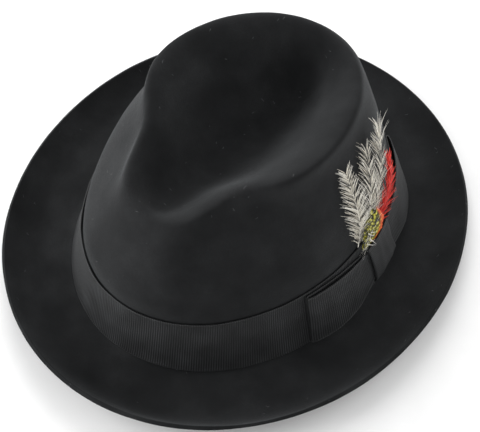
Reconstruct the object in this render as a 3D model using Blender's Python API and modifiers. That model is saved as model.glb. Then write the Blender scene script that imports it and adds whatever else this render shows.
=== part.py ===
"""A felt trilby with a ribbon band, a flat bow and a feather trim, in metres, +Z up.

The hat stands on the flat ring of its brim with its front towards -Y, so the
wearer's left side, which carries the bow and the trim, is towards +X. The
origin is on the floor under the middle of the hat.
"""

import math
from collections import namedtuple

import bpy
from mathutils import Vector
from mathutils.bvhtree import BVHTree

MM = 0.001

# Felt body: the oval where brim meets crown, on the outside of the felt.
BASE_LENGTH = 206 * MM
BASE_WIDTH = 168 * MM
FELT = 2.0 * MM
BRIM_FRONT = 39 * MM
BRIM_SIDE = 41 * MM
BRIM_BACK = 38 * MM
CURL_FRONT = 15 * MM
CURL_SIDE = 12 * MM
CURL_BACK = 7 * MM
CROWN_FRONT = 92 * MM
CROWN_SIDE = 122 * MM
CROWN_BACK = 115 * MM

# Crease in the top, and the two pinches at the front.
CREASE_FRONT = 56 * MM
CREASE_BACK = 46 * MM
CREASE_HEIGHT_FRONT = 85 * MM
CREASE_HEIGHT_MIDDLE = 74 * MM
CREASE_HEIGHT_BACK = 77 * MM
PINCH_ANGLE = 51
PINCH_WIDTH = 20

# Ribbon band, and the gaps that keep touching pieces apart.
RIBBON_HEIGHT = 38 * MM
RIBBON = 0.8 * MM
RIBBON_FOOT = 3.2 * MM
SEAT_GAP = 0.6 * MM
LAYER_GAP = 0.5 * MM

# Bow: angles are counted from the front of the hat towards the wearer's left.
BOW_FRONT_END = 73
KNOT_FRONT = 107
KNOT_BACK = 123
BOW_BACK_END = 158
TUCK_ANGLE = 3.2
BOW_HEIGHT = 35 * MM
BOW_FOOT = 4.6 * MM
BOW_PUFF = 2.4 * MM
KNOT_HEIGHT = 29 * MM
KNOT_RISE = 0.9 * MM

# Feather trim.
STEM_RADIUS = 0.7 * MM
VANE = 0.7 * MM
VANE_GAP = 0.35 * MM
VANE_TURN = 28

AROUND = 28
RAY_START = 10 * MM
RIBBON_STEPS = 72
LOOP_STEPS = 12

BrimRow = namedtuple("BrimRow", "reach rise")
BRIM_ROWS = [
    BrimRow(reach=1.00, rise=1.00),
    BrimRow(reach=0.92, rise=0.62),
    BrimRow(reach=0.80, rise=0.26),
    BrimRow(reach=0.64, rise=0.00),
    BrimRow(reach=0.50, rise=0.00),
    BrimRow(reach=0.30, rise=0.00),
    BrimRow(reach=0.05, rise=0.00),
]

# Lengths are shares of the base oval; band rows rise by shares of the ribbon's height.
WallRow = namedtuple("WallRow", "height front back side pinch")
BAND_ROWS = [
    WallRow(height=0.15, front=0.997, back=0.997, side=0.997, pinch=0.000),
    WallRow(height=0.50, front=0.975, back=0.960, side=0.954, pinch=0.000),
    WallRow(height=1.00, front=0.937, back=0.905, side=0.888, pinch=0.000),
    WallRow(height=1.30, front=0.937, back=0.899, side=0.895, pinch=0.012),
]

# Crown rows rise by shares of the crown's height at the front, side and back.
CROWN_ROWS = [
    WallRow(height=0.62, front=0.912, back=0.857, side=0.849, pinch=0.060),
    WallRow(height=0.88, front=0.777, back=0.795, side=0.630, pinch=0.200),
    WallRow(height=1.03, front=0.700, back=0.712, side=0.706, pinch=0.260),
]

# The dent's sides go from the top row towards the crease line.
DentRow = namedtuple("DentRow", "inward sink")
DENT_ROWS = [
    DentRow(inward=0.38, sink=0.26),
    DentRow(inward=0.72, sink=0.84),
]

# A loop of the bow, from its fold to where it is tucked under the knot.
LoopRow = namedtuple("LoopRow", "along puff height")
LOOP_ROWS = [
    LoopRow(along=0.00, puff=0.35, height=1.00),
    LoopRow(along=0.06, puff=0.70, height=1.00),
    LoopRow(along=0.30, puff=1.00, height=0.97),
    LoopRow(along=0.60, puff=0.90, height=0.86),
    LoopRow(along=0.85, puff=0.35, height=0.70),
    LoopRow(along=1.00, puff=0.00, height=0.63),
]

# The knot's arch over the bow, from its lower end to its upper end, which lets the stem out.
KnotRow = namedtuple("KnotRow", "up rise")
KNOT_ROWS = [
    KnotRow(up=-1.00, rise=0.00),
    KnotRow(up=-0.93, rise=0.70),
    KnotRow(up=-0.75, rise=1.00),
    KnotRow(up=0.00, rise=1.00),
    KnotRow(up=0.75, rise=1.00),
    KnotRow(up=0.93, rise=0.90),
    KnotRow(up=1.00, rise=0.75),
]

# A feather's spine from its root to its tip: angle in degrees, then its height,
# half width and extra distance off the felt in mm.
Spine = namedtuple("Spine", "angle height half off")
FEATHERS = {
    "speckled_feather": (
        "over",
        "olive",
        [
            Spine(angle=104.6, height=43.0, half=1.0, off=0.0),
            Spine(angle=106.6, height=48.5, half=3.8, off=0.2),
            Spine(angle=109.0, height=55.0, half=5.2, off=0.4),
            Spine(angle=111.6, height=61.5, half=4.6, off=0.6),
            Spine(angle=113.6, height=66.5, half=2.0, off=0.8),
        ],
    ),
    "red_feather": (
        "middle",
        "scarlet",
        [
            Spine(angle=108.8, height=46.5, half=1.2, off=0.0),
            Spine(angle=115.5, height=54.0, half=2.8, off=0.9),
            Spine(angle=121.0, height=62.0, half=3.8, off=2.3),
            Spine(angle=127.0, height=71.0, half=3.8, off=3.7),
            Spine(angle=132.0, height=81.0, half=1.4, off=4.8),
        ],
    ),
    "hackle_front": (
        "under",
        "cream",
        [
            Spine(angle=103.6, height=45.5, half=1.2, off=0.0),
            Spine(angle=104.0, height=60.0, half=2.6, off=0.4),
            Spine(angle=104.6, height=75.0, half=3.8, off=0.8),
            Spine(angle=105.6, height=90.0, half=4.4, off=1.4),
            Spine(angle=107.0, height=102.0, half=1.6, off=2.6),
        ],
    ),
    "hackle_middle": (
        "under",
        "cream",
        [
            Spine(angle=106.8, height=46.0, half=1.0, off=0.0),
            Spine(angle=110.6, height=60.0, half=1.8, off=0.6),
            Spine(angle=114.4, height=75.0, half=3.2, off=1.4),
            Spine(angle=119.0, height=88.0, half=3.8, off=2.2),
            Spine(angle=124.0, height=99.0, half=1.6, off=3.2),
        ],
    ),
    "hackle_back": (
        "under",
        "cream",
        [
            Spine(angle=110.6, height=46.8, half=1.0, off=0.0),
            Spine(angle=117.4, height=60.0, half=1.8, off=0.6),
            Spine(angle=124.0, height=75.0, half=2.6, off=2.0),
            Spine(angle=130.6, height=90.0, half=3.2, off=3.6),
            Spine(angle=136.0, height=103.0, half=3.2, off=5.4),
        ],
    ),
}


def clear_scene():
    for obj in list(bpy.data.objects):
        bpy.data.objects.remove(obj)


def material(name, colour, roughness):
    made = bpy.data.materials.new(name)
    made.use_nodes = True
    shader = made.node_tree.nodes["Principled BSDF"]
    shader.inputs["Base Color"].default_value = (*colour, 1)
    shader.inputs["Roughness"].default_value = roughness
    made.diffuse_color = (*colour, 1)
    return made


def add_mesh(name, points, faces, finish):
    mesh = bpy.data.meshes.new(name)
    mesh.from_pydata(points, [], faces)
    mesh.materials.append(finish)
    mesh.shade_smooth()
    obj = bpy.data.objects.new(name, mesh)
    bpy.data.collections["trilby"].objects.link(obj)
    return obj


def grid_faces(rows, columns, closed):
    """Quads between rows of points; a closed grid joins its last column to its first."""
    last = columns if closed else columns - 1
    faces = []
    for r in range(rows - 1):
        for c in range(last):
            d = (c + 1) % columns
            faces.append((r * columns + c, r * columns + d, (r + 1) * columns + d, (r + 1) * columns + c))
    return faces


def thicken(obj, thickness, offset):
    solidify = obj.modifiers.new("thickness", "SOLIDIFY")
    solidify.thickness = thickness
    solidify.offset = offset
    solidify.use_even_offset = True
    return solidify


def mix(front, side, back, forward):
    """A value that goes smoothly round the hat, through its front, side and back."""
    return side + (front - side) * max(forward, 0) ** 2 + (back - side) * max(-forward, 0) ** 2


def pinch_at(angle):
    from_front = min(angle, 360 - angle)
    return math.exp(-(((from_front - PINCH_ANGLE) / PINCH_WIDTH) ** 2))


def oval_point(angle, front, back, side, height, pinch=0.0):
    forward = math.cos(math.radians(angle))
    across = math.sin(math.radians(angle))
    keep = 1 - pinch * pinch_at(angle)
    reach = front if forward > 0 else back
    return Vector((side * across * keep, -reach * forward * keep, height))


def brim_row(row, angle):
    forward = math.cos(math.radians(angle))
    return oval_point(
        angle,
        BASE_LENGTH / 2 + BRIM_FRONT * row.reach,
        BASE_LENGTH / 2 + BRIM_BACK * row.reach,
        BASE_WIDTH / 2 + BRIM_SIDE * row.reach,
        FELT + row.rise * mix(CURL_FRONT, CURL_SIDE, CURL_BACK, forward),
    )


def wall_row(row, angle, rise):
    return oval_point(
        angle,
        BASE_LENGTH / 2 * row.front,
        BASE_LENGTH / 2 * row.back,
        BASE_WIDTH / 2 * row.side,
        FELT + row.height * rise,
        row.pinch,
    )


def crown_row(row, angle):
    forward = math.cos(math.radians(angle))
    return wall_row(row, angle, mix(CROWN_FRONT, CROWN_SIDE, CROWN_BACK, forward))


def crease_point(angle):
    forward = math.cos(math.radians(angle))
    reach = CREASE_FRONT if forward > 0 else CREASE_BACK
    height = mix(CREASE_HEIGHT_FRONT, CREASE_HEIGHT_MIDDLE, CREASE_HEIGHT_BACK, forward)
    return Vector((0, -reach * forward, FELT + height))


def dent_row(row, angle):
    rim = crown_row(CROWN_ROWS[-1], angle)
    crease = crease_point(angle)
    point = rim.lerp(crease, row.inward)
    point.z = rim.z + (crease.z - rim.z) * row.sink
    return point


def felt_body(finish):
    """Brim and crown in one piece of felt: a cage of ovals, closed along the crease line."""
    angles = [360 * k / AROUND for k in range(AROUND)]
    rings = [[brim_row(row, a) for a in angles] for row in BRIM_ROWS]
    rings += [[wall_row(row, a, RIBBON_HEIGHT) for a in angles] for row in BAND_ROWS]
    rings += [[crown_row(row, a) for a in angles] for row in CROWN_ROWS]
    rings += [[dent_row(row, a) for a in angles] for row in DENT_ROWS]
    points = [p for ring in rings for p in ring]
    faces = grid_faces(len(rings), AROUND, True)

    # The crease line has one point for each mirrored pair of columns.
    first = len(points)
    half = AROUND // 2
    ends = 2
    stations = list(range(ends, half - ends + 1))
    points += [crease_point(angles[k]) for k in stations]

    def crease_index(column):
        near = min(column, AROUND - column)
        return first + min(max(near, stations[0]), stations[-1]) - stations[0]

    inner = (len(rings) - 1) * AROUND
    for c in range(AROUND):
        d = (c + 1) % AROUND
        corners = [inner + c, inner + d, crease_index(d), crease_index(c)]
        faces.append(tuple(dict.fromkeys(corners)))
    body = add_mesh("felt_body", points, faces, finish)
    soften = body.modifiers.new("soft form", "SUBSURF")
    soften.levels = 1
    soften.render_levels = 1
    thicken(body, FELT, -1)
    return body


def surface_of(obj):
    bpy.context.view_layer.update()
    graph = bpy.context.evaluated_depsgraph_get()
    return BVHTree.FromObject(obj, graph)


def on_wall(wall, angle, height, lift):
    """The point over the crown's wall at this angle and height, lifted off the felt."""
    out = Vector((math.sin(math.radians(angle)), -math.cos(math.radians(angle)), 0))
    base = 1 / math.hypot(out.x / BASE_WIDTH * 2, out.y / BASE_LENGTH * 2)
    start = out * (base + RAY_START) + Vector((0, 0, height))
    place, normal, _, _ = wall.ray_cast(start, -out)
    flat = Vector((normal.x, normal.y, normal.z * 0.5)).normalized()
    return place + flat * lift


def ribbon_band(wall, finish):
    """A closed loop of ribbon round the foot of the crown, drawn snug to the felt."""
    foot = FELT + RIBBON_FOOT
    rows = 4
    points = []
    for r in range(rows):
        height = foot + RIBBON_HEIGHT * r / (rows - 1)
        for k in range(RIBBON_STEPS):
            points.append(on_wall(wall, 360 * k / RIBBON_STEPS, height, SEAT_GAP))
    band = add_mesh("ribbon_band", points, grid_faces(rows, RIBBON_STEPS, True), finish)
    thicken(band, RIBBON, 1)


def bow_lift():
    """How far off the felt the middle of the bow's first layer lies."""
    return SEAT_GAP + RIBBON + LAYER_GAP + RIBBON / 2


def loop_row(along):
    """The bow loop's table, read off between its rows."""
    for low, high in zip(LOOP_ROWS, LOOP_ROWS[1:]):
        if along <= high.along:
            share = (along - low.along) / (high.along - low.along)
            return LoopRow(*(a + (b - a) * share for a, b in zip(low, high)))
    return LOOP_ROWS[-1]


def bow_loop(wall, name, fold_angle, knot_angle, finish):
    """A ribbon folded on itself: under layer, fold, and a puffed upper layer."""
    under = bow_lift()
    upper = under + RIBBON + LAYER_GAP
    middle = FELT + BOW_FOOT + BOW_HEIGHT / 2
    stations = [loop_row(k / LOOP_STEPS) for k in range(LOOP_STEPS + 1)]
    path = [(row, 0.0) for row in reversed(stations)] + [(row, 1.0) for row in stations]
    across = 5
    points = []
    for row, top in path:
        angle = fold_angle + (knot_angle - fold_angle) * row.along
        tall = BOW_HEIGHT * row.height
        for c in range(across):
            share = c / (across - 1) * 2 - 1
            swell = row.puff * BOW_PUFF * (1 - 0.35 * share * share)
            lift = under + (upper - under + swell) * top
            points.append(on_wall(wall, angle, middle + tall / 2 * share, lift))
    loop = add_mesh(name, points, grid_faces(len(path), across, False), finish)
    thicken(loop, RIBBON, 0)


def bow_knot(wall, finish):
    """A short piece of ribbon wrapped over the ends of the two loops."""
    over = bow_lift() + 2 * (RIBBON + LAYER_GAP) + KNOT_RISE
    middle = FELT + BOW_FOOT + BOW_HEIGHT / 2
    across = 5
    points = []
    for share, rise in KNOT_ROWS:
        for c in range(across):
            side = c / (across - 1)
            angle = KNOT_FRONT + (KNOT_BACK - KNOT_FRONT) * side
            crown = 0.12 * math.sin(math.pi * side)
            lift = bow_lift() + (over - bow_lift()) * rise * (1 + crown)
            points.append(on_wall(wall, angle, middle + KNOT_HEIGHT / 2 * share, lift))
    knot = add_mesh("bow_knot", points, grid_faces(len(KNOT_ROWS), across, False), finish)
    thicken(knot, RIBBON, 0)


def stem_lift():
    return SEAT_GAP + RIBBON + LAYER_GAP + STEM_RADIUS


def vane_lift(layer):
    """How far off the felt the middle of a feather's vane lies."""
    under = SEAT_GAP + VANE / 2
    middle = under + 1.5 * VANE + VANE_GAP
    over = stem_lift() + VANE_GAP + VANE / 2
    return {"under": under, "middle": middle, "over": over}[layer]


def trim_stem(wall, finish):
    """The bound quills: tucked down behind the knot, and showing just above it."""
    lift = stem_lift()
    route = [(114.5, 18), (114.0, 26), (113.2, 33), (111.8, 37.5), (109.4, 41), (107.0, 43.6), (105.6, 46)]
    curve = bpy.data.curves.new("trim_stem", "CURVE")
    curve.dimensions = "3D"
    curve.bevel_depth = STEM_RADIUS
    curve.bevel_resolution = 1
    curve.use_fill_caps = True
    curve.materials.append(finish)
    spline = curve.splines.new("POLY")
    spline.points.add(len(route) - 1)
    for point, (angle, height) in zip(spline.points, route):
        point.co = (*on_wall(wall, angle, height * MM, lift), 1)
    stem = bpy.data.objects.new("trim_stem", curve)
    bpy.data.collections["trilby"].objects.link(stem)


def feather(wall, name, layer, finish, spine):
    """A feather's vane over the crown, turned so that its rear edge stands off the felt."""
    degrees = math.degrees(1 / (BASE_WIDTH / 2))
    flat = math.cos(math.radians(VANE_TURN))
    steep = math.sin(math.radians(VANE_TURN))
    across = 5
    points = []
    for k, here in enumerate(spine):
        before = spine[max(k - 1, 0)]
        after = spine[min(k + 1, len(spine) - 1)]
        along = Vector(((after.angle - before.angle) / degrees, (after.height - before.height) * MM)).normalized()
        for c in range(across):
            share = c / (across - 1) * 2 - 1
            offset = here.half * MM * share * flat
            angle = here.angle + along.y * offset * degrees
            height = here.height * MM - along.x * offset
            lift = vane_lift(layer) + here.off * MM + here.half * MM * (1 + share) * steep
            points.append(on_wall(wall, angle, height, lift))
    vane = add_mesh(name, points, grid_faces(len(spine), across, False), finish)
    soften = vane.modifiers.new("soft form", "SUBSURF")
    soften.levels = 1
    soften.render_levels = 1
    thicken(vane, VANE, 0)


def main():
    clear_scene()
    collection = bpy.data.collections.new("trilby")
    bpy.context.scene.collection.children.link(collection)
    felt = material("black wool felt", (0.016, 0.017, 0.017), 0.95)
    ribbon = material("black grosgrain", (0.025, 0.026, 0.026), 0.6)
    colours = {
        "olive": material("speckled olive feather", (0.45, 0.42, 0.06), 0.6),
        "scarlet": material("scarlet feather", (0.75, 0.04, 0.02), 0.6),
        "cream": material("cream hackle", (0.72, 0.68, 0.55), 0.8),
    }
    body = felt_body(felt)
    wall = surface_of(body)
    ribbon_band(wall, ribbon)
    bow_loop(wall, "bow_front_loop", BOW_FRONT_END, KNOT_FRONT + TUCK_ANGLE, ribbon)
    bow_loop(wall, "bow_back_loop", BOW_BACK_END, KNOT_BACK - TUCK_ANGLE, ribbon)
    bow_knot(wall, ribbon)
    trim_stem(wall, ribbon)
    for name, (layer, colour, spine) in FEATHERS.items():
        feather(wall, name, layer, colours[colour], spine)


main()
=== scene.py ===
"""The looks of a black felt trilby: felt with a nap, ribbed ribbon, a folded bow and a feather trim.

Lengths are in metres in the CAD part's frame: front of the hat towards -Y, the
wearer's left towards +X, +Z up.
"""

import math
from collections import namedtuple

import bpy
import numpy as np
from mathutils import Matrix, Vector, noise
from mathutils.bvhtree import BVHTree

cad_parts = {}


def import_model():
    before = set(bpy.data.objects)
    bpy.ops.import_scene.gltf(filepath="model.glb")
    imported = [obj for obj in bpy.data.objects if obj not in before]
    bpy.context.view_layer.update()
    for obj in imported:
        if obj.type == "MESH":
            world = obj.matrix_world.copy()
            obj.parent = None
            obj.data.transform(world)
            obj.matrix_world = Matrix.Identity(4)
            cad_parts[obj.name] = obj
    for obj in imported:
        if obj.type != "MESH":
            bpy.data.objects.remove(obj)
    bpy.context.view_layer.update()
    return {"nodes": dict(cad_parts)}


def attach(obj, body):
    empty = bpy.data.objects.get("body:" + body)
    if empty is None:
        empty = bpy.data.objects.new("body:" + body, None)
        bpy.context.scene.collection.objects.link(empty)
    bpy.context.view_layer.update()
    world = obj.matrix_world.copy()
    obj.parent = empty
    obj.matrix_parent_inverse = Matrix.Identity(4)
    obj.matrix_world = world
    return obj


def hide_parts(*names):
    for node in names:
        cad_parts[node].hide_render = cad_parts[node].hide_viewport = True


MM = 0.001
SEED = 7

# Felt body sizes.
BASE_LENGTH = 206 * MM
BASE_WIDTH = 168 * MM
FELT = 2.0 * MM
BRIM_FRONT = 39 * MM
BRIM_SIDE = 41 * MM
BRIM_BACK = 38 * MM
CURL_FRONT = 15 * MM
CURL_SIDE = 12 * MM
CURL_BACK = 7 * MM
CROWN_FRONT = 92 * MM
CROWN_SIDE = 122 * MM
CROWN_BACK = 115 * MM
CREASE_FRONT = 56 * MM
CREASE_BACK = 46 * MM
CREASE_HEIGHT_FRONT = 85 * MM
CREASE_HEIGHT_MIDDLE = 74 * MM
CREASE_HEIGHT_BACK = 77 * MM
PINCH_ANGLE = 51
PINCH_WIDTH = 20
AROUND = 28
CREASE_FIRST = 2
CREASE_LAST = AROUND // 2 - 2
SUBDIVISIONS = 3
EDGE_CREASE = 0.55
NAP_FIBRES = 30000
FIBRE_HALF_WIDTH = 0.03 * MM
LINT_HAIRS = 160
LINT_WIDTH = 0.16 * MM

# Ribbon sizes, with angles in degrees from the front towards the wearer's left.
RIBBON_HEIGHT = 38 * MM
RIBBON = 0.7 * MM
RIBBON_FOOT = 3.2 * MM
SEAT_GAP = 0.6 * MM
LAYER_GAP = 0.5 * MM
BOW_FRONT_END = 73
KNOT_FRONT = 107
KNOT_BACK = 123
BOW_BACK_END = 158
TUCK_ANGLE = 3.2
BOW_HEIGHT = 35 * MM
BOW_FOOT = 4.6 * MM
BOW_PUFF = 2.6 * MM
KNOT_HEIGHT = 29 * MM
KNOT_RISE = 0.9 * MM
VANE_TURN = 28
RIB_PITCH = 1.35 * MM
BAND_COLUMNS = 288
BAND_SHARES = [0.0, 0.02, 0.045, 0.1, 0.25, 0.4, 0.55, 0.7, 0.82, 0.92, 0.96, 0.98, 1.0]
LOOP_STEPS = 30
FOLD_STEPS = 8
KNOT_STEPS = 40
KNOT_SPAN = 22 * MM
ACROSS = 21

BrimRow = namedtuple("BrimRow", "reach rise")
BRIM_ROWS = [
    BrimRow(reach=1.00, rise=1.00),
    BrimRow(reach=0.92, rise=0.62),
    BrimRow(reach=0.80, rise=0.26),
    BrimRow(reach=0.64, rise=0.00),
    BrimRow(reach=0.50, rise=0.00),
    BrimRow(reach=0.30, rise=0.00),
    BrimRow(reach=0.05, rise=0.00),
]
WallRow = namedtuple("WallRow", "height front back side pinch")
BAND_ROWS = [
    WallRow(height=0.15, front=0.997, back=0.997, side=0.997, pinch=0.000),
    WallRow(height=0.50, front=0.975, back=0.960, side=0.954, pinch=0.000),
    WallRow(height=1.00, front=0.937, back=0.905, side=0.888, pinch=0.000),
    WallRow(height=1.30, front=0.937, back=0.899, side=0.895, pinch=0.012),
]
CROWN_ROWS = [
    WallRow(height=0.62, front=0.912, back=0.857, side=0.849, pinch=0.060),
    WallRow(height=0.88, front=0.777, back=0.795, side=0.630, pinch=0.200),
    WallRow(height=1.03, front=0.700, back=0.712, side=0.706, pinch=0.260),
]
DentRow = namedtuple("DentRow", "inward sink")
DENT_ROWS = [DentRow(inward=0.38, sink=0.26), DentRow(inward=0.72, sink=0.84)]

LoopRow = namedtuple("LoopRow", "along puff height")
LOOP_ROWS = [
    LoopRow(along=0.00, puff=0.30, height=1.00),
    LoopRow(along=0.06, puff=0.72, height=1.00),
    LoopRow(along=0.30, puff=1.00, height=0.97),
    LoopRow(along=0.60, puff=0.90, height=0.86),
    LoopRow(along=0.85, puff=0.35, height=0.70),
    LoopRow(along=1.00, puff=0.00, height=0.63),
]
KnotRow = namedtuple("KnotRow", "up rise")
KNOT_ROWS = [
    KnotRow(up=-1.00, rise=0.00),
    KnotRow(up=-0.95, rise=0.62),
    KnotRow(up=-0.82, rise=0.96),
    KnotRow(up=-0.40, rise=1.06),
    KnotRow(up=0.00, rise=1.02),
    KnotRow(up=0.40, rise=1.06),
    KnotRow(up=0.82, rise=1.00),
    KnotRow(up=0.95, rise=0.86),
    KnotRow(up=1.00, rise=0.72),
]

# A feather's spine: angle in degrees, then height, half width and distance off the felt in mm.
SPINE_STEPS = 40
SPINE_SMOOTHINGS = 12
BARB_SEGMENTS = 6
SHAFT_HALF = 0.35 * MM
VANE_ACROSS = 17
VANE_LENGTH = 26 * MM
WISPS = 22
WISP_WIDTH = 0.45 * MM
TUFT_WIDTH = 0.5 * MM
Spine = namedtuple("Spine", "angle height half off")
SPECKLED = [
    Spine(angle=104.6, height=43.0, half=1.0, off=3.1),
    Spine(angle=106.6, height=48.5, half=3.8, off=3.4),
    Spine(angle=109.0, height=55.0, half=5.2, off=3.7),
    Spine(angle=111.6, height=61.5, half=4.6, off=3.9),
    Spine(angle=113.6, height=66.5, half=1.6, off=4.0),
]
RED = [
    Spine(angle=108.8, height=46.5, half=1.0, off=2.4),
    Spine(angle=115.5, height=54.0, half=2.6, off=3.3),
    Spine(angle=121.0, height=62.0, half=3.8, off=4.7),
    Spine(angle=127.0, height=71.0, half=3.6, off=6.0),
    Spine(angle=132.0, height=81.0, half=1.0, off=7.0),
]
HACKLE_FRONT = [
    Spine(angle=103.6, height=45.5, half=1.2, off=1.0),
    Spine(angle=104.0, height=60.0, half=2.6, off=1.4),
    Spine(angle=104.6, height=75.0, half=3.8, off=1.8),
    Spine(angle=105.6, height=90.0, half=4.4, off=2.4),
    Spine(angle=107.0, height=102.0, half=1.6, off=3.6),
]
HACKLE_MIDDLE = [
    Spine(angle=106.8, height=46.0, half=1.0, off=1.0),
    Spine(angle=110.6, height=60.0, half=1.8, off=1.6),
    Spine(angle=114.4, height=75.0, half=3.2, off=2.4),
    Spine(angle=119.0, height=88.0, half=3.8, off=3.2),
    Spine(angle=124.0, height=99.0, half=1.6, off=4.2),
]
HACKLE_BACK = [
    Spine(angle=110.6, height=46.8, half=1.0, off=1.0),
    Spine(angle=117.4, height=60.0, half=1.8, off=1.6),
    Spine(angle=124.0, height=75.0, half=2.6, off=3.0),
    Spine(angle=130.6, height=90.0, half=3.2, off=4.6),
    Spine(angle=136.0, height=103.0, half=3.2, off=6.4),
]

# Camera: angles in degrees, distance in metres, focal length and shifts as the photo's frame needs.
CAMERA_AZIMUTH = 44.9
CAMERA_ELEVATION = 58.7
CAMERA_DISTANCE = 0.9
CAMERA_LENS = 115.9
SHIFT_X = 0.0036
SHIFT_Y = 0.0211

# Studio: a softbox's place as the camera sees it, in metres, and its power in watts.
Softbox = namedtuple("Softbox", "name right away up power")
SOFTBOXES = [
    Softbox(name="left softbox", right=-1.3, away=0.1, up=0.4, power=23),
    Softbox(name="right softbox", right=1.3, away=0.45, up=0.6, power=8),
    Softbox(name="back softbox", right=0.0, away=1.15, up=0.85, power=14),
    Softbox(name="front softbox", right=0.0, away=-1.2, up=1.1, power=4),
]
SOFTBOX_SIZE = 1.0
LIGHT_TARGET = (0, 0, 0.05)
WORLD_STRENGTH = 0.55
FLOOR_SIZE = 8
FLOOR_HEIGHT = -0.0004

# Where a Mix node set to RGBA keeps its colour sockets.
MIX_FIRST_COLOUR = 6
MIX_SECOND_COLOUR = 7
MIX_COLOUR_OUT = 2


# Colour and node helpers.


def srgb(hex_colour):
    """An sRGB hex colour turned to the linear values that the shader takes."""
    parts = [int(hex_colour[i : i + 2], 16) / 255 for i in (1, 3, 5)]
    linear = [c / 12.92 if c <= 0.04045 else ((c + 0.055) / 1.055) ** 2.4 for c in parts]
    return (*linear, 1.0)


def new_material(name):
    made = bpy.data.materials.new(name)
    made.use_nodes = True
    return made, made.node_tree, made.node_tree.nodes["Principled BSDF"]


def plain_sockets(made, **values):
    for key, value in values.items():
        made.inputs[key.replace("_", " ")].default_value = value


def node(tree, kind, links=(), **settings):
    """Adds a node, sets its properties and sockets, and links its inputs."""
    made = tree.nodes.new(kind)
    for key, value in settings.items():
        if hasattr(made, key):
            setattr(made, key, value)
        else:
            plain_sockets(made, **{key: value})
    for socket, source in dict(links).items():
        tree.links.new(source, made.inputs[socket])
    return made


def ramp(tree, source, stops):
    """A colour read off a scale of places and sRGB hex colours."""
    made = node(tree, "ShaderNodeValToRGB", {"Fac": source})
    elements = made.color_ramp.elements
    while len(elements) < len(stops):
        elements.new(0.5)
    for element, (place, colour) in zip(elements, stops):
        element.position = place
        element.color = srgb(colour)
    return made.outputs["Color"]


def combine(tree, operation, first, second):
    return node(tree, "ShaderNodeMath", {0: first, 1: second}, operation=operation).outputs[0]


def grain(tree, place, scale, detail, roughness=0.5):
    settings = {"Scale": scale, "Detail": detail, "Roughness": roughness}
    return node(tree, "ShaderNodeTexNoise", {"Vector": place}, **settings).outputs["Fac"]


def relief(tree, shader, height, strength, distance):
    bump = node(tree, "ShaderNodeBump", {"Height": height}, Strength=strength, Distance=distance)
    tree.links.new(bump.outputs["Normal"], shader.inputs["Normal"])


def object_place(tree):
    return node(tree, "ShaderNodeTexCoord").outputs["Object"]


def cloth_place(tree):
    return node(tree, "ShaderNodeUVMap", uv_map="cloth").outputs["UV"]


def own_tone(tree):
    return node(tree, "ShaderNodeAttribute", attribute_name="tone").outputs["Fac"]


# Materials.


def wool_felt():
    """Black wool felt, pressed and brushed: dull, faintly cloudy and paler at grazing angles."""
    made, tree, shader = new_material("wool felt, pressed and brushed")
    place = object_place(tree)
    fibre = grain(tree, place, 2600, 4, 0.65)
    clump = grain(tree, place, 420, 3, 0.6)
    cloud = grain(tree, place, 38, 3, 0.55)
    tone = combine(tree, "MULTIPLY", fibre, cloud)
    colour = ramp(tree, tone, [(0.12, "#131415"), (0.26, "#1d1e1f"), (0.42, "#292a2b")])
    tree.links.new(colour, shader.inputs["Base Color"])
    relief(tree, shader, combine(tree, "ADD", fibre, clump), 0.55, 0.22 * MM)
    plain_sockets(shader, Roughness=0.95, Specular_IOR_Level=0.18)
    plain_sockets(shader, Sheen_Weight=0.14, Sheen_Roughness=0.4, Sheen_Tint=srgb("#b9bdc0"))
    return made


def grosgrain(name, rib_axis):
    """Black grosgrain, woven over thick cross cords: fine ribs, painted shade in the grooves between them
    and a soft sheen.
    """
    made, tree, shader = new_material(name)
    cloth = cloth_place(tree)
    wave_scale = 2 * math.pi / (20 * RIB_PITCH)
    wave = node(tree, "ShaderNodeTexWave", {"Vector": cloth}, bands_direction=rib_axis, Scale=wave_scale)
    plain_sockets(wave, Distortion=0.25, Detail=1.0)
    ribs = wave.outputs["Fac"]
    thread = grain(tree, cloth, 3200, 3, 0.6)
    shade = grain(tree, cloth, 70, 3)
    fine = node(tree, "ShaderNodeMath", {0: thread}, operation="MULTIPLY")
    fine.inputs[1].default_value = 0.35
    # The colour follows the ribs: painted shade in the grooves between them, times a random cloudy tone.
    tone = combine(tree, "MULTIPLY", ribs, shade)
    colour = ramp(tree, tone, [(0.0, "#0b0b0c"), (0.3, "#222324"), (0.7, "#37393b")])
    rough = node(tree, "ShaderNodeMapRange", {"Value": shade}, To_Min=0.5, To_Max=0.68)
    tree.links.new(colour, shader.inputs["Base Color"])
    tree.links.new(rough.outputs[0], shader.inputs["Roughness"])
    relief(tree, shader, combine(tree, "ADD", ribs, fine.outputs[0]), 0.8, 0.2 * MM)
    plain_sockets(shader, Specular_IOR_Level=0.4)
    plain_sockets(shader, Sheen_Weight=0.12, Sheen_Roughness=0.35, Sheen_Tint=srgb("#c4c6c8"))
    return made


def barb_material(name, stops, roughness, sheen):
    """Feather barbs: each has its own tone, darker at the shaft and paler at its tip."""
    made, tree, shader = new_material(name)
    fleck = grain(tree, object_place(tree), 1400, 2)
    shift = node(tree, "ShaderNodeMapRange", {"Value": fleck}, To_Min=-0.12, To_Max=0.12)
    mixed = combine(tree, "ADD", own_tone(tree), shift.outputs[0])
    tree.links.new(ramp(tree, mixed, stops), shader.inputs["Base Color"])
    relief(tree, shader, fleck, 0.3, 0.08 * MM)
    plain_sockets(shader, Roughness=roughness, Specular_IOR_Level=0.35)
    plain_sockets(shader, Sheen_Weight=sheen, Sheen_Roughness=0.4)
    return made


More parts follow.
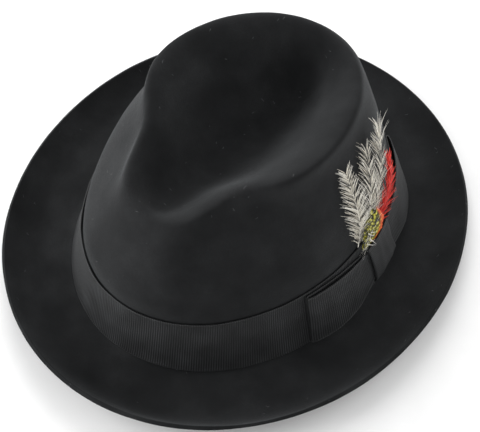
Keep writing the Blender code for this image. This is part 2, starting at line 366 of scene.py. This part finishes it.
def speckled_vane():
    """A small body feather: yellow-green, with dark-ringed pale dots and a warm orange edge."""
    made, tree, shader = new_material("speckled feather vane, barbs hooked flat")
    cloth = cloth_place(tree)
    dots = node(tree, "ShaderNodeTexVoronoi", {"Vector": cloth}, Scale=620, Randomness=0.75)
    stops = [(0.0, "#e9e79a"), (0.3, "#b9b22c"), (0.48, "#6d6a17"), (0.72, "#1d1c0c")]
    ground = ramp(tree, dots.outputs["Distance"], stops)
    barbs = node(tree, "ShaderNodeTexWave", {"Vector": cloth}, bands_direction="DIAGONAL", Scale=700)
    plain_sockets(barbs, Distortion=1.5)
    warm = node(tree, "ShaderNodeMapRange", {"Value": own_tone(tree)}, From_Min=0.72, From_Max=0.95)
    blend = node(tree, "ShaderNodeMix", {"Factor": warm.outputs[0]}, data_type="RGBA")
    tree.links.new(ground, blend.inputs[MIX_FIRST_COLOUR])
    blend.inputs[MIX_SECOND_COLOUR].default_value = srgb("#d9561c")
    tree.links.new(blend.outputs[MIX_COLOUR_OUT], shader.inputs["Base Color"])
    relief(tree, shader, barbs.outputs["Fac"], 0.5, 0.1 * MM)
    plain_sockets(shader, Roughness=0.5, Specular_IOR_Level=0.4)
    return made


def waxed_thread():
    """Black waxed thread wound round the quills: tight turns with painted shade between them and a low
    gloss.
    """
    made, tree, shader = new_material("waxed thread, wound")
    wave = node(
        tree, "ShaderNodeTexWave", {"Vector": object_place(tree)}, bands_direction="Z", Scale=600
    )
    plain_sockets(wave, Distortion=0.6)
    turns = wave.outputs["Fac"]
    # The colour follows the turns: painted shade in the hollows between them.
    colour = ramp(tree, turns, [(0.0, "#060606"), (1.0, "#1a1a1a")])
    tree.links.new(colour, shader.inputs["Base Color"])
    relief(tree, shader, turns, 0.7, 0.1 * MM)
    plain_sockets(shader, Roughness=0.45)
    return made


def studio_paper():
    """Matt white studio paper: nearly white, with a trace of unevenness."""
    made, tree, shader = new_material("studio paper, matt")
    uneven = grain(tree, object_place(tree), 30, 4)
    colour = ramp(tree, uneven, [(0.3, "#f4f4f4"), (0.7, "#f8f8f8")])
    tree.links.new(colour, shader.inputs["Base Color"])
    plain_sockets(shader, Roughness=0.9, Specular_IOR_Level=0.1)
    return made


# Mesh helpers.


def add_piece(name, points, faces, finish, smooth=True):
    mesh = bpy.data.meshes.new(name)
    mesh.from_pydata([tuple(p) for p in points], [], faces)
    mesh.materials.append(finish)
    if smooth:
        mesh.shade_smooth()
    made = bpy.data.objects.new(name, mesh)
    bpy.context.scene.collection.objects.link(made)
    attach(made, "root")
    return made


def set_uv(made, uvs):
    """Stores one (u, v) pair in metres for each vertex."""
    layer = made.data.uv_layers.new(name="cloth")
    index = np.empty(len(made.data.loops), np.int32)
    made.data.loops.foreach_get("vertex_index", index)
    layer.data.foreach_set("uv", np.asarray(uvs, np.float32)[index].ravel())


def set_tone(made, tones):
    attribute = made.data.attributes.new("tone", "FLOAT", "POINT")
    attribute.data.foreach_set("value", np.asarray(tones, np.float32))


def grid_faces(rows, columns, closed):
    last = columns if closed else columns - 1
    faces = []
    for r in range(rows - 1):
        for c in range(last):
            d = (c + 1) % columns
            low, high = r * columns, (r + 1) * columns
            faces.append((low + c, low + d, high + d, high + c))
    return faces


def thicken(made, thickness, offset):
    solidify = made.modifiers.new("thickness", "SOLIDIFY")
    solidify.thickness = thickness
    solidify.offset = offset
    solidify.use_even_offset = True
    return solidify


def read_table(rows, key, value):
    """One row of a table of named columns, read off between its rows along the key column."""
    keys = [getattr(row, key) for row in rows]
    columns = zip(*rows)
    return type(rows[0])(*(float(np.interp(value, keys, column)) for column in columns))


# Felt body, brim and crown.


def mix(front, side, back, forward):
    return side + (front - side) * max(forward, 0) ** 2 + (back - side) * max(-forward, 0) ** 2


def oval_point(angle, front, back, side, height, pinch=0.0):
    forward = math.cos(math.radians(angle))
    across = math.sin(math.radians(angle))
    near_front = min(angle, 360 - angle)
    keep = 1 - pinch * math.exp(-(((near_front - PINCH_ANGLE) / PINCH_WIDTH) ** 2))
    reach = front if forward > 0 else back
    return Vector((side * across * keep, -reach * forward * keep, height))


def brim_row(row, angle):
    forward = math.cos(math.radians(angle))
    return oval_point(
        angle,
        BASE_LENGTH / 2 + BRIM_FRONT * row.reach,
        BASE_LENGTH / 2 + BRIM_BACK * row.reach,
        BASE_WIDTH / 2 + BRIM_SIDE * row.reach,
        FELT + row.rise * mix(CURL_FRONT, CURL_SIDE, CURL_BACK, forward),
    )


def wall_row(row, angle, rise):
    return oval_point(
        angle,
        BASE_LENGTH / 2 * row.front,
        BASE_LENGTH / 2 * row.back,
        BASE_WIDTH / 2 * row.side,
        FELT + row.height * rise,
        row.pinch,
    )


def crown_row(row, angle):
    forward = math.cos(math.radians(angle))
    return wall_row(row, angle, mix(CROWN_FRONT, CROWN_SIDE, CROWN_BACK, forward))


def crease_point(angle):
    forward = math.cos(math.radians(angle))
    reach = CREASE_FRONT if forward > 0 else CREASE_BACK
    height = mix(CREASE_HEIGHT_FRONT, CREASE_HEIGHT_MIDDLE, CREASE_HEIGHT_BACK, forward)
    return Vector((0, -reach * forward, FELT + height))


def dent_row(row, angle):
    rim = crown_row(CROWN_ROWS[-1], angle)
    crease = crease_point(angle)
    point = rim.lerp(crease, row.inward)
    point.z = rim.z + (crease.z - rim.z) * row.sink
    return point


def crease_station(k):
    """Which point of the crease column k runs to, counted from the crease's front."""
    return min(max(min(k, AROUND - k), CREASE_FIRST), CREASE_LAST) - CREASE_FIRST


def felt_cage():
    """The coarse form: rings from the brim's edge over the crown, closed along the crease."""
    angles = [360 * k / AROUND for k in range(AROUND)]
    rings = [[brim_row(row, a) for a in angles] for row in BRIM_ROWS]
    rings += [[wall_row(row, a, RIBBON_HEIGHT) for a in angles] for row in BAND_ROWS]
    rings += [[crown_row(row, a) for a in angles] for row in CROWN_ROWS]
    rings += [[dent_row(row, a) for a in angles] for row in DENT_ROWS]
    points = [p for ring in rings for p in ring]
    faces = grid_faces(len(rings), AROUND, True)
    first = len(points)
    points += [crease_point(angles[k]) for k in range(CREASE_FIRST, CREASE_LAST + 1)]
    inner = (len(rings) - 1) * AROUND
    for c in range(AROUND):
        d = (c + 1) % AROUND
        ends = [first + crease_station(k) for k in (d, c)]
        faces.append(tuple(dict.fromkeys([inner + c, inner + d, *ends])))
    return points, faces


def felt_skin(finish):
    """Brim and crown from the cage, made fine, with the slight unevenness of blocked felt."""
    points, faces = felt_cage()
    skin = add_piece("felt_skin", points, faces, finish)
    solidify = thicken(skin, FELT, -1)
    solidify.edge_crease_outer = EDGE_CREASE
    solidify.edge_crease_inner = EDGE_CREASE
    soften = skin.modifiers.new("soft form", "SUBSURF")
    soften.levels = SUBDIVISIONS
    soften.render_levels = SUBDIVISIONS
    bpy.context.view_layer.update()
    graph = bpy.context.evaluated_depsgraph_get()
    fine = bpy.data.meshes.new_from_object(skin.evaluated_get(graph))
    skin.modifiers.clear()
    skin.data = fine
    places = [vertex.co.copy() for vertex in fine.vertices]
    normals = [vertex.normal.copy() for vertex in fine.vertices]
    for vertex, place, normal in zip(fine.vertices, places, normals):
        slow = noise.noise(place * 22) * 0.45 * MM
        quick = noise.noise(place * 90) * 0.10 * MM
        lifted = min(max(place.z - 2 * FELT, 0) / (8 * MM), 1)
        vertex.co = place + normal * (slow + quick) * lifted
    fine.update()
    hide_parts("felt_body")
    return skin


def felt_nap(skin, finish):
    """Short loose fibres that stand off the felt, each a thin tapered blade."""
    mesh = skin.data
    rng = np.random.default_rng(SEED)
    count = len(mesh.polygons)
    centres, normals, areas = np.empty((count, 3)), np.empty((count, 3)), np.empty(count)
    for key, values in (("center", centres), ("normal", normals), ("area", areas)):
        mesh.polygons.foreach_get(key, values.ravel())
    chosen = rng.choice(count, NAP_FIBRES, p=areas / areas.sum())
    spread = np.sqrt(areas[chosen])[:, None]
    outward = normals[chosen]
    lean = rng.normal(size=(NAP_FIBRES, 3))
    flat = lean - outward * (lean * outward).sum(1)[:, None]
    root = centres[chosen] + flat * spread * 0.35
    way = outward * 0.8 + rng.normal(size=(NAP_FIBRES, 3)) * 0.55
    way /= np.linalg.norm(way, axis=1)[:, None]
    side = np.cross(way, rng.normal(size=(NAP_FIBRES, 3)))
    side /= np.linalg.norm(side, axis=1)[:, None]
    length = rng.uniform(0.35, 1.0, (NAP_FIBRES, 1)) * MM
    low = root[:, 2] < 1.5 * MM
    way[low, 2] = np.abs(way[low, 2])
    half = side * FIBRE_HALF_WIDTH
    points = np.stack([root - half, root + half, root + way * length], 1).reshape(-1, 3)
    points[:, 2] = np.maximum(points[:, 2], 0)
    faces = np.arange(len(points)).reshape(-1, 3).tolist()
    add_piece("felt_nap", points, faces, finish, smooth=False)


def lint(skin):
    """A few pale curled hairs and specks of dust caught in the nap."""
    rng = np.random.default_rng(SEED + 20)
    parts = ([], [], [])
    tops = [face for face in skin.data.polygons if face.normal.z > 0.1 and face.center.z > 3 * MM]
    for k in rng.choice(len(tops), LINT_HAIRS, replace=False):
        face = tops[int(k)]
        way = Vector(rng.normal(size=3)).cross(face.normal).normalized()
        root = face.center + face.normal * 0.25 * MM
        hair = Barb(length=rng.uniform(0.5, 2.2) * MM, width=LINT_WIDTH, tone=(0.4, 0.6), curl=0.9)
        grow_barb(parts, rng, root, way, way.cross(face.normal), face.normal, hair)
    stops = [(0.0, "#3c3d3e"), (1.0, "#8d8f91")]
    finish = barb_material("cotton lint, caught in the nap", stops, 0.9, 0.2)
    made = add_piece("felt_lint", parts[0], parts[1], finish)
    set_tone(made, parts[2])


# Band and bow.


def surface_of(made):
    bpy.context.view_layer.update()
    return BVHTree.FromObject(made, bpy.context.evaluated_depsgraph_get())


def on_wall(wall, angle, height, lift):
    """The point over the crown's wall at this angle and height, lifted off the felt."""
    out = Vector((math.sin(math.radians(angle)), -math.cos(math.radians(angle)), 0))
    base = 1 / math.hypot(out.x / BASE_WIDTH * 2, out.y / BASE_LENGTH * 2)
    start = out * (base + 10 * MM) + Vector((0, 0, height))
    place, normal, _, _ = wall.ray_cast(start, -out)
    flat = Vector((normal.x, normal.y, normal.z * 0.5)).normalized()
    return place + flat * lift


def path_lengths(points):
    """How far each point of a path lies along it."""
    steps = [0.0] + [(b - a).length for a, b in zip(points, points[1:])]
    return np.cumsum(steps)


def ribbon_band(wall, finish):
    """The band, with a little slack in its edges and a thin flat edge thread."""
    foot = FELT + RIBBON_FOOT
    seam = (KNOT_FRONT + KNOT_BACK) / 2
    angles = [seam + 360 * k / BAND_COLUMNS for k in range(BAND_COLUMNS + 1)]
    along = path_lengths([on_wall(wall, angle, foot, 0) for angle in angles])
    points, uvs = [], []
    for share in BAND_SHARES:
        edge = abs(share * 2 - 1) ** 12
        for angle, length in zip(angles, along):
            slack = 0.25 * MM * noise.noise(Vector((angle * 0.11, share * 1.5, 3.0)))
            lift = SEAT_GAP + slack + 0.18 * MM * edge
            wander = 0.35 * MM * noise.noise(Vector((angle * 0.05, 8.0, 1.0)))
            points.append(on_wall(wall, angle, foot + RIBBON_HEIGHT * share + wander, lift))
            uvs.append((length, share * RIBBON_HEIGHT))
    faces = grid_faces(len(BAND_SHARES), len(angles), False)
    band = add_piece("ribbon_band_cloth", points, faces, finish)
    set_uv(band, uvs)
    thicken(band, RIBBON, 1)
    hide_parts("ribbon_band")


def bow_lift():
    return SEAT_GAP + 0.8 * MM + LAYER_GAP + RIBBON / 2


def folded_ribbon(name, rows, uvs, finish):
    """A piece of the bow from its lines of points, in place of the CAD node of that name."""
    points = [p for line in rows for p in line]
    faces = grid_faces(len(rows), ACROSS, False)
    made = add_piece(name + "_cloth", points, faces, finish)
    set_uv(made, uvs)
    thicken(made, RIBBON, 0)
    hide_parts(name)


def bow_loop(wall, name, fold_angle, knot_angle, finish):
    """A loop of the bow: flat behind, turned over at its fold and swollen on top, its lower edge slack."""
    under = bow_lift()
    upper = under + RIBBON + LAYER_GAP
    middle = FELT + BOW_FOOT + BOW_HEIGHT / 2
    shares = [k / LOOP_STEPS for k in range(LOOP_STEPS + 1)]
    turn = [math.pi * k / FOLD_STEPS for k in range(1, FOLD_STEPS)]
    path = [(s, 0.0, 0.0) for s in reversed(shares)]
    path += [(0.0, (1 - math.cos(t)) / 2, math.sin(t)) for t in turn]
    path += [(s, 1.0, 0.0) for s in shares]
    rows = []
    for along, top, bend in path:
        row = read_table(LOOP_ROWS, "along", along)
        tall = BOW_HEIGHT * row.height
        line = []
        for c in range(ACROSS):
            share = c / (ACROSS - 1) * 2 - 1
            crease = 0.35 * math.exp(-(((share - 0.15 - 0.5 * along) / 0.22) ** 2)) * along
            swell = row.puff * BOW_PUFF * (1 - 0.45 * share * share) * (1 - crease)
            slack = 1.1 * MM * math.sin(math.pi * along) * max(-share, 0) ** 2
            lift = under + (upper - under + swell) * top + slack * top
            out = bend * 0.55 * MM + (0.5 * MM * (1 - along) ** 3 * max(-share, 0)) * top
            degrees = math.degrees(1 / (BASE_WIDTH / 2)) * (1 if knot_angle < fold_angle else -1)
            angle = fold_angle + (knot_angle - fold_angle) * along + degrees * out
            sag = -1.0 * MM * math.sin(math.pi * min(along * 1.3, 1)) * max(-share, 0) * top
            line.append(on_wall(wall, angle, middle + tall / 2 * share + sag, lift))
        rows.append(line)
    lengths = path_lengths([line[ACROSS // 2] for line in rows])
    uvs = [(u, BOW_HEIGHT * c / (ACROSS - 1)) for u in lengths for c in range(ACROSS)]
    folded_ribbon(name, rows, uvs, finish)


def bow_knot(wall, finish):
    """The wrap over the bow's middle: drawn tight at both ends, with two soft lengthwise folds."""
    low = bow_lift()
    over = low + 2 * (RIBBON + LAYER_GAP) + KNOT_RISE
    middle = FELT + BOW_FOOT + BOW_HEIGHT / 2
    rows = []
    for up in np.linspace(-1, 1, KNOT_STEPS + 1).tolist():
        row = read_table(KNOT_ROWS, "up", up)
        line = []
        for c in range(ACROSS):
            side = c / (ACROSS - 1)
            pull = 0.8 * (1 - up * up) - 0.4
            angle = KNOT_FRONT + (KNOT_BACK - KNOT_FRONT) * side - pull * (side * 2 - 1)
            fold = 0.35 * MM * math.exp(-(((side - 0.36 - 0.06 * up) / 0.09) ** 2))
            fold += 0.25 * MM * math.exp(-(((side - 0.68 + 0.05 * up) / 0.08) ** 2))
            rounded = 0.12 * math.sin(math.pi * side)
            lift = low + (over - low) * row.rise * (1 + rounded) + fold * row.rise
            line.append(on_wall(wall, angle, middle + KNOT_HEIGHT / 2 * up, lift))
        rows.append(line)
    lengths = path_lengths([line[ACROSS // 2] for line in rows])
    uvs = [(c / (ACROSS - 1) * KNOT_SPAN, u) for u in lengths for c in range(ACROSS)]
    folded_ribbon("bow_knot", rows, uvs, finish)


# Feather trim.


def spine_path(wall, rows):
    """Places, directions and half widths along a feather's shaft."""
    keys = np.linspace(0, 1, len(rows))
    table = np.array(rows)
    places, halves = [], []
    for t in np.linspace(0, 1, SPINE_STEPS):
        angle, height, half, off = (float(np.interp(t, keys, table[:, k])) for k in range(4))
        places.append(on_wall(wall, angle, height * MM, (off + half * 0.45) * MM))
        halves.append(half * MM)
    for _ in range(SPINE_SMOOTHINGS):
        threes = zip(places, places[1:], places[2:])
        places = [places[0], *((a + b * 2 + c) / 4 for a, b, c in threes), places[-1]]
    frames = []
    for k, place in enumerate(places):
        along = (places[min(k + 1, SPINE_STEPS - 1)] - places[max(k - 1, 0)]).normalized()
        out = Vector((place.x, place.y, 0)).normalized()
        rear = Vector((0, 0, 1)).cross(out).normalized()
        rear = Matrix.Rotation(math.radians(-VANE_TURN), 3, "Z") @ rear
        rear = (rear - along * rear.dot(along)).normalized()
        frames.append((place, along, rear, rear.cross(along).normalized(), halves[k]))
    return frames


def frame_at(frames, t):
    return frames[min(int(t * (len(frames) - 1) + 0.5), len(frames) - 1)]


# One barb: its length and width in metres, its tone at foot and tip, and how much it curls.
Barb = namedtuple("Barb", "length width tone curl")


def grow_barb(parts, rng, root, way, curl_to, normal, barb):
    """Adds one barb: a thin tapered strip that starts along `way` and curls towards `curl_to`."""
    points, faces, tones = parts
    first = len(points)
    place = root.copy()
    for k in range(BARB_SEGMENTS + 1):
        share = k / BARB_SEGMENTS
        side = way.cross(normal).normalized() * barb.width * (1 - 0.8 * share) / 2
        points += [place - side, place + side]
        value = min(max(barb.tone[0] + (barb.tone[1] - barb.tone[0]) * share, 0), 1)
        tones += [value, value]
        wobble = Vector(rng.normal(size=3)) * 0.05
        way = (way + curl_to * barb.curl / BARB_SEGMENTS + wobble).normalized()
        place = place + way * barb.length / BARB_SEGMENTS
    for k in range(BARB_SEGMENTS):
        a = first + 2 * k
        faces.append((a, a + 1, a + 3, a + 2))


def add_shaft(parts, frames):
    """Adds a feather's shaft: a thin strip with a raised middle."""
    points, faces, tones = parts
    first = len(points)
    for k, (place, along, rear, normal, half) in enumerate(frames):
        thick = SHAFT_HALF * (1 - 0.75 * k / len(frames))
        points += [place - rear * thick, place + normal * thick, place + rear * thick]
        tones += [0.85, 0.9, 0.85]
    for k in range(len(frames) - 1):
        a = first + 3 * k
        faces += [(a, a + 1, a + 4, a + 3), (a + 1, a + 2, a + 5, a + 4)]


# How a feather's barbs grow: how many to a side, their length in mm, the angle from the
# shaft in degrees, the strip's width in mm, how much they curl and where they start.
Barbs = namedtuple("Barbs", "count front rear angle width curl start")


def feather(wall, name, rows, barbs, tones, finish, seed, tuft=0):
    """Barbs on both sides of a shaft, with a tuft fanned at its tip, in place of the CAD node."""
    rng = np.random.default_rng(seed)
    frames = spine_path(wall, rows)
    parts = ([], [], [])
    for side, reach in ((-1, barbs.front), (1, barbs.rear)):
        for k in range(barbs.count):
            t = barbs.start + (1 - barbs.start) * (k + rng.uniform(0, 0.9)) / barbs.count
            place, along, rear, normal, half = frame_at(frames, t)
            spread = math.radians(barbs.angle * rng.uniform(0.75, 1.25) * (1 - 0.35 * t))
            way = along * math.cos(spread) + rear * side * math.sin(spread) + normal * rng.normal() * 0.16
            swell = 0.55 + 0.45 * math.sin(math.pi * min(t + 0.15, 1))
            length = reach * MM * rng.uniform(0.75, 1.1) * swell
            shade = rng.choice(tones) + rng.normal() * 0.06
            root = place + normal * rng.uniform(-0.3, 0.3) * MM
            barb = Barb(length, barbs.width * MM, (shade - 0.25, shade + 0.15), barbs.curl)
            grow_barb(parts, rng, root, way.normalized(), rear * side - normal * 0.25, normal, barb)
    for k in range(tuft):
        place, along, rear, normal, half = frame_at(frames, rng.uniform(0.72, 0.97))
        fan = (k + 0.5) / tuft * 2 - 1
        way = along + rear * fan * 0.55 + normal * rng.normal() * 0.12
        barb = Barb(rng.uniform(11, 15) * MM, TUFT_WIDTH, (0.75, 0.95), 0.1)
        grow_barb(parts, rng, place, way.normalized(), rear * fan, normal, barb)
    add_shaft(parts, frames)
    made = add_piece(name + "_barbs", parts[0], parts[1], finish)
    set_tone(made, parts[2])
    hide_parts(name)


def speckled_feather(wall, vane_finish):
    """The small body feather at the foot of the trim: a crowned vane with a ragged edge."""
    rng = np.random.default_rng(SEED + 5)
    frames = spine_path(wall, SPECKLED)
    points, uvs, tones = [], [], []
    for k, (place, along, rear, normal, half) in enumerate(frames):
        t = k / (len(frames) - 1)
        width = half * (1.25 if t < 0.9 else 1.0)
        for c in range(VANE_ACROSS):
            share = c / (VANE_ACROSS - 1) * 2 - 1
            ragged = 1 + rng.normal() * 0.05 if abs(share) == 1 else 1
            sweep = along * abs(share) ** 1.5 * 1.6 * MM
            crown = normal * (1 - share * share) * 1.1 * MM
            points.append(place + rear * width * share * ragged + sweep + crown)
            uvs.append((width * share, t * VANE_LENGTH))
            tones.append(share * 0.5 + 0.5)
    faces = grid_faces(len(frames), VANE_ACROSS, False)
    made = add_piece("speckled_feather_vane", points, faces, vane_finish)
    set_uv(made, uvs)
    set_tone(made, tones)
    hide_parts("speckled_feather")


def wisps(wall, finish):
    """Loose white barbs at the foot of the trim."""
    rng = np.random.default_rng(SEED + 9)
    parts = ([], [], [])
    for k in range(WISPS):
        root = on_wall(wall, 105 + rng.uniform(-1.5, 2.5), (55 + rng.uniform(-5, 6)) * MM, 7 * MM)
        out = Vector((root.x, root.y, 0)).normalized()
        rear = Vector((0, 0, 1)).cross(out)
        fan = rng.choice([-1, -0.7, -0.4, 0.5, 0.9])
        lifted = 0.8 if k % 2 else -0.9
        way = (rear * fan * 0.8 + Vector((0, 0, lifted)) + out * 0.15).normalized()
        barb = Barb(rng.uniform(9, 15) * MM, WISP_WIDTH, (0.9, 1.0), 0.5)
        grow_barb(parts, rng, root, way, rear * fan, out, barb)
    made = add_piece("trim_wisps", parts[0], parts[1], finish)
    set_tone(made, parts[2])


def trim(wall):
    cream = [(0.0, "#1d1c1b"), (0.3, "#6e6a62"), (0.5, "#c9c2b2"), (0.75, "#ece7da"), (1.0, "#fbf8f0")]
    hackle = barb_material("hackle barbs, dried and combed", cream, 0.55, 0.3)
    scarlet = [(0.0, "#7c0f0a"), (0.4, "#d31f16"), (0.75, "#f23a2a"), (1.0, "#ff7a63")]
    red = barb_material("scarlet feather, dyed", scarlet, 0.5, 0.15)
    light = [0.55, 0.7, 0.8, 0.85, 0.15]
    grey = [0.1, 0.3, 0.55, 0.75, 0.85]
    front = Barbs(count=120, front=15, rear=15, angle=24, width=0.5, curl=0.55, start=0.06)
    middle = Barbs(count=120, front=17, rear=14, angle=22, width=0.5, curl=0.4, start=0.06)
    back = Barbs(count=110, front=17, rear=11, angle=20, width=0.5, curl=0.35, start=0.06)
    hackles = (
        ("hackle_front", HACKLE_FRONT, front, light, 0),
        ("hackle_middle", HACKLE_MIDDLE, middle, grey, 0),
        ("hackle_back", HACKLE_BACK, back, grey, 20),
    )
    for number, (name, rows, barbs, tones, tuft) in enumerate(hackles, 1):
        feather(wall, name, rows, barbs, tones, hackle, SEED + number, tuft)
    dense = Barbs(count=130, front=11, rear=9.5, angle=20, width=0.7, curl=0.2, start=0.0)
    feather(wall, "red_feather", RED, dense, [0.45, 0.55, 0.7], red, SEED + 4)
    speckled_feather(wall, speckled_vane())
    wisps(wall, hackle)


# Studio and camera.


def aim(made, target):
    made.rotation_euler = (Vector(target) - made.location).to_track_quat("-Z", "Y").to_euler()


def area_light(box, place):
    data = bpy.data.lights.new(box.name, "AREA")
    data.size = SOFTBOX_SIZE
    data.energy = box.power
    made = bpy.data.objects.new(box.name, data)
    made.location = place
    bpy.context.scene.collection.objects.link(made)
    aim(made, LIGHT_TARGET)


def studio():
    bpy.ops.mesh.primitive_plane_add(size=FLOOR_SIZE, location=(0, 0, FLOOR_HEIGHT))
    floor = bpy.context.object
    floor.name = "floor"
    floor.data.materials.append(studio_paper())
    world = bpy.data.worlds.new("studio")
    world.use_nodes = True
    plain_sockets(world.node_tree.nodes["Background"], Color=(1, 1, 1, 1), Strength=WORLD_STRENGTH)
    bpy.context.scene.world = world
    azimuth = math.radians(CAMERA_AZIMUTH)
    right = Vector((math.cos(azimuth), math.sin(azimuth), 0))
    away = Vector((-math.sin(azimuth), math.cos(azimuth), 0))
    up = Vector((0, 0, 1))
    for box in SOFTBOXES:
        area_light(box, right * box.right + away * box.away + up * box.up)
    bpy.context.scene.view_settings.view_transform = "Standard"


def camera():
    azimuth, elevation = math.radians(CAMERA_AZIMUTH), math.radians(CAMERA_ELEVATION)
    level = math.cos(elevation)
    back = Vector((math.sin(azimuth) * level, -math.cos(azimuth) * level, math.sin(elevation)))
    data = bpy.data.cameras.new("photo camera")
    data.lens = CAMERA_LENS
    data.shift_x = SHIFT_X
    data.shift_y = SHIFT_Y
    made = bpy.data.objects.new("photo camera", data)
    made.location = back * CAMERA_DISTANCE + Vector((0, 0, FELT))
    made.rotation_euler = (-back).to_track_quat("-Z", "Y").to_euler()
    bpy.context.scene.collection.objects.link(made)
    bpy.context.scene.camera = made


def main():
    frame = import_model()
    camera()
    studio()
    felt = wool_felt()
    skin = felt_skin(felt)
    wall = surface_of(skin)
    felt_nap(skin, felt)
    lint(skin)
    along_ribs = grosgrain("grosgrain ribbon, woven with cords", "X")
    wrap_ribs = grosgrain("grosgrain ribbon, woven with cords, wrapped upright", "Y")
    ribbon_band(wall, along_ribs)
    bow_loop(wall, "bow_front_loop", BOW_FRONT_END, KNOT_FRONT + TUCK_ANGLE, along_ribs)
    bow_loop(wall, "bow_back_loop", BOW_BACK_END, KNOT_BACK - TUCK_ANGLE, along_ribs)
    bow_knot(wall, wrap_ribs)
    frame["nodes"]["trim_stem"].data.materials.clear()
    frame["nodes"]["trim_stem"].data.materials.append(waxed_thread())
    trim(wall)


main()
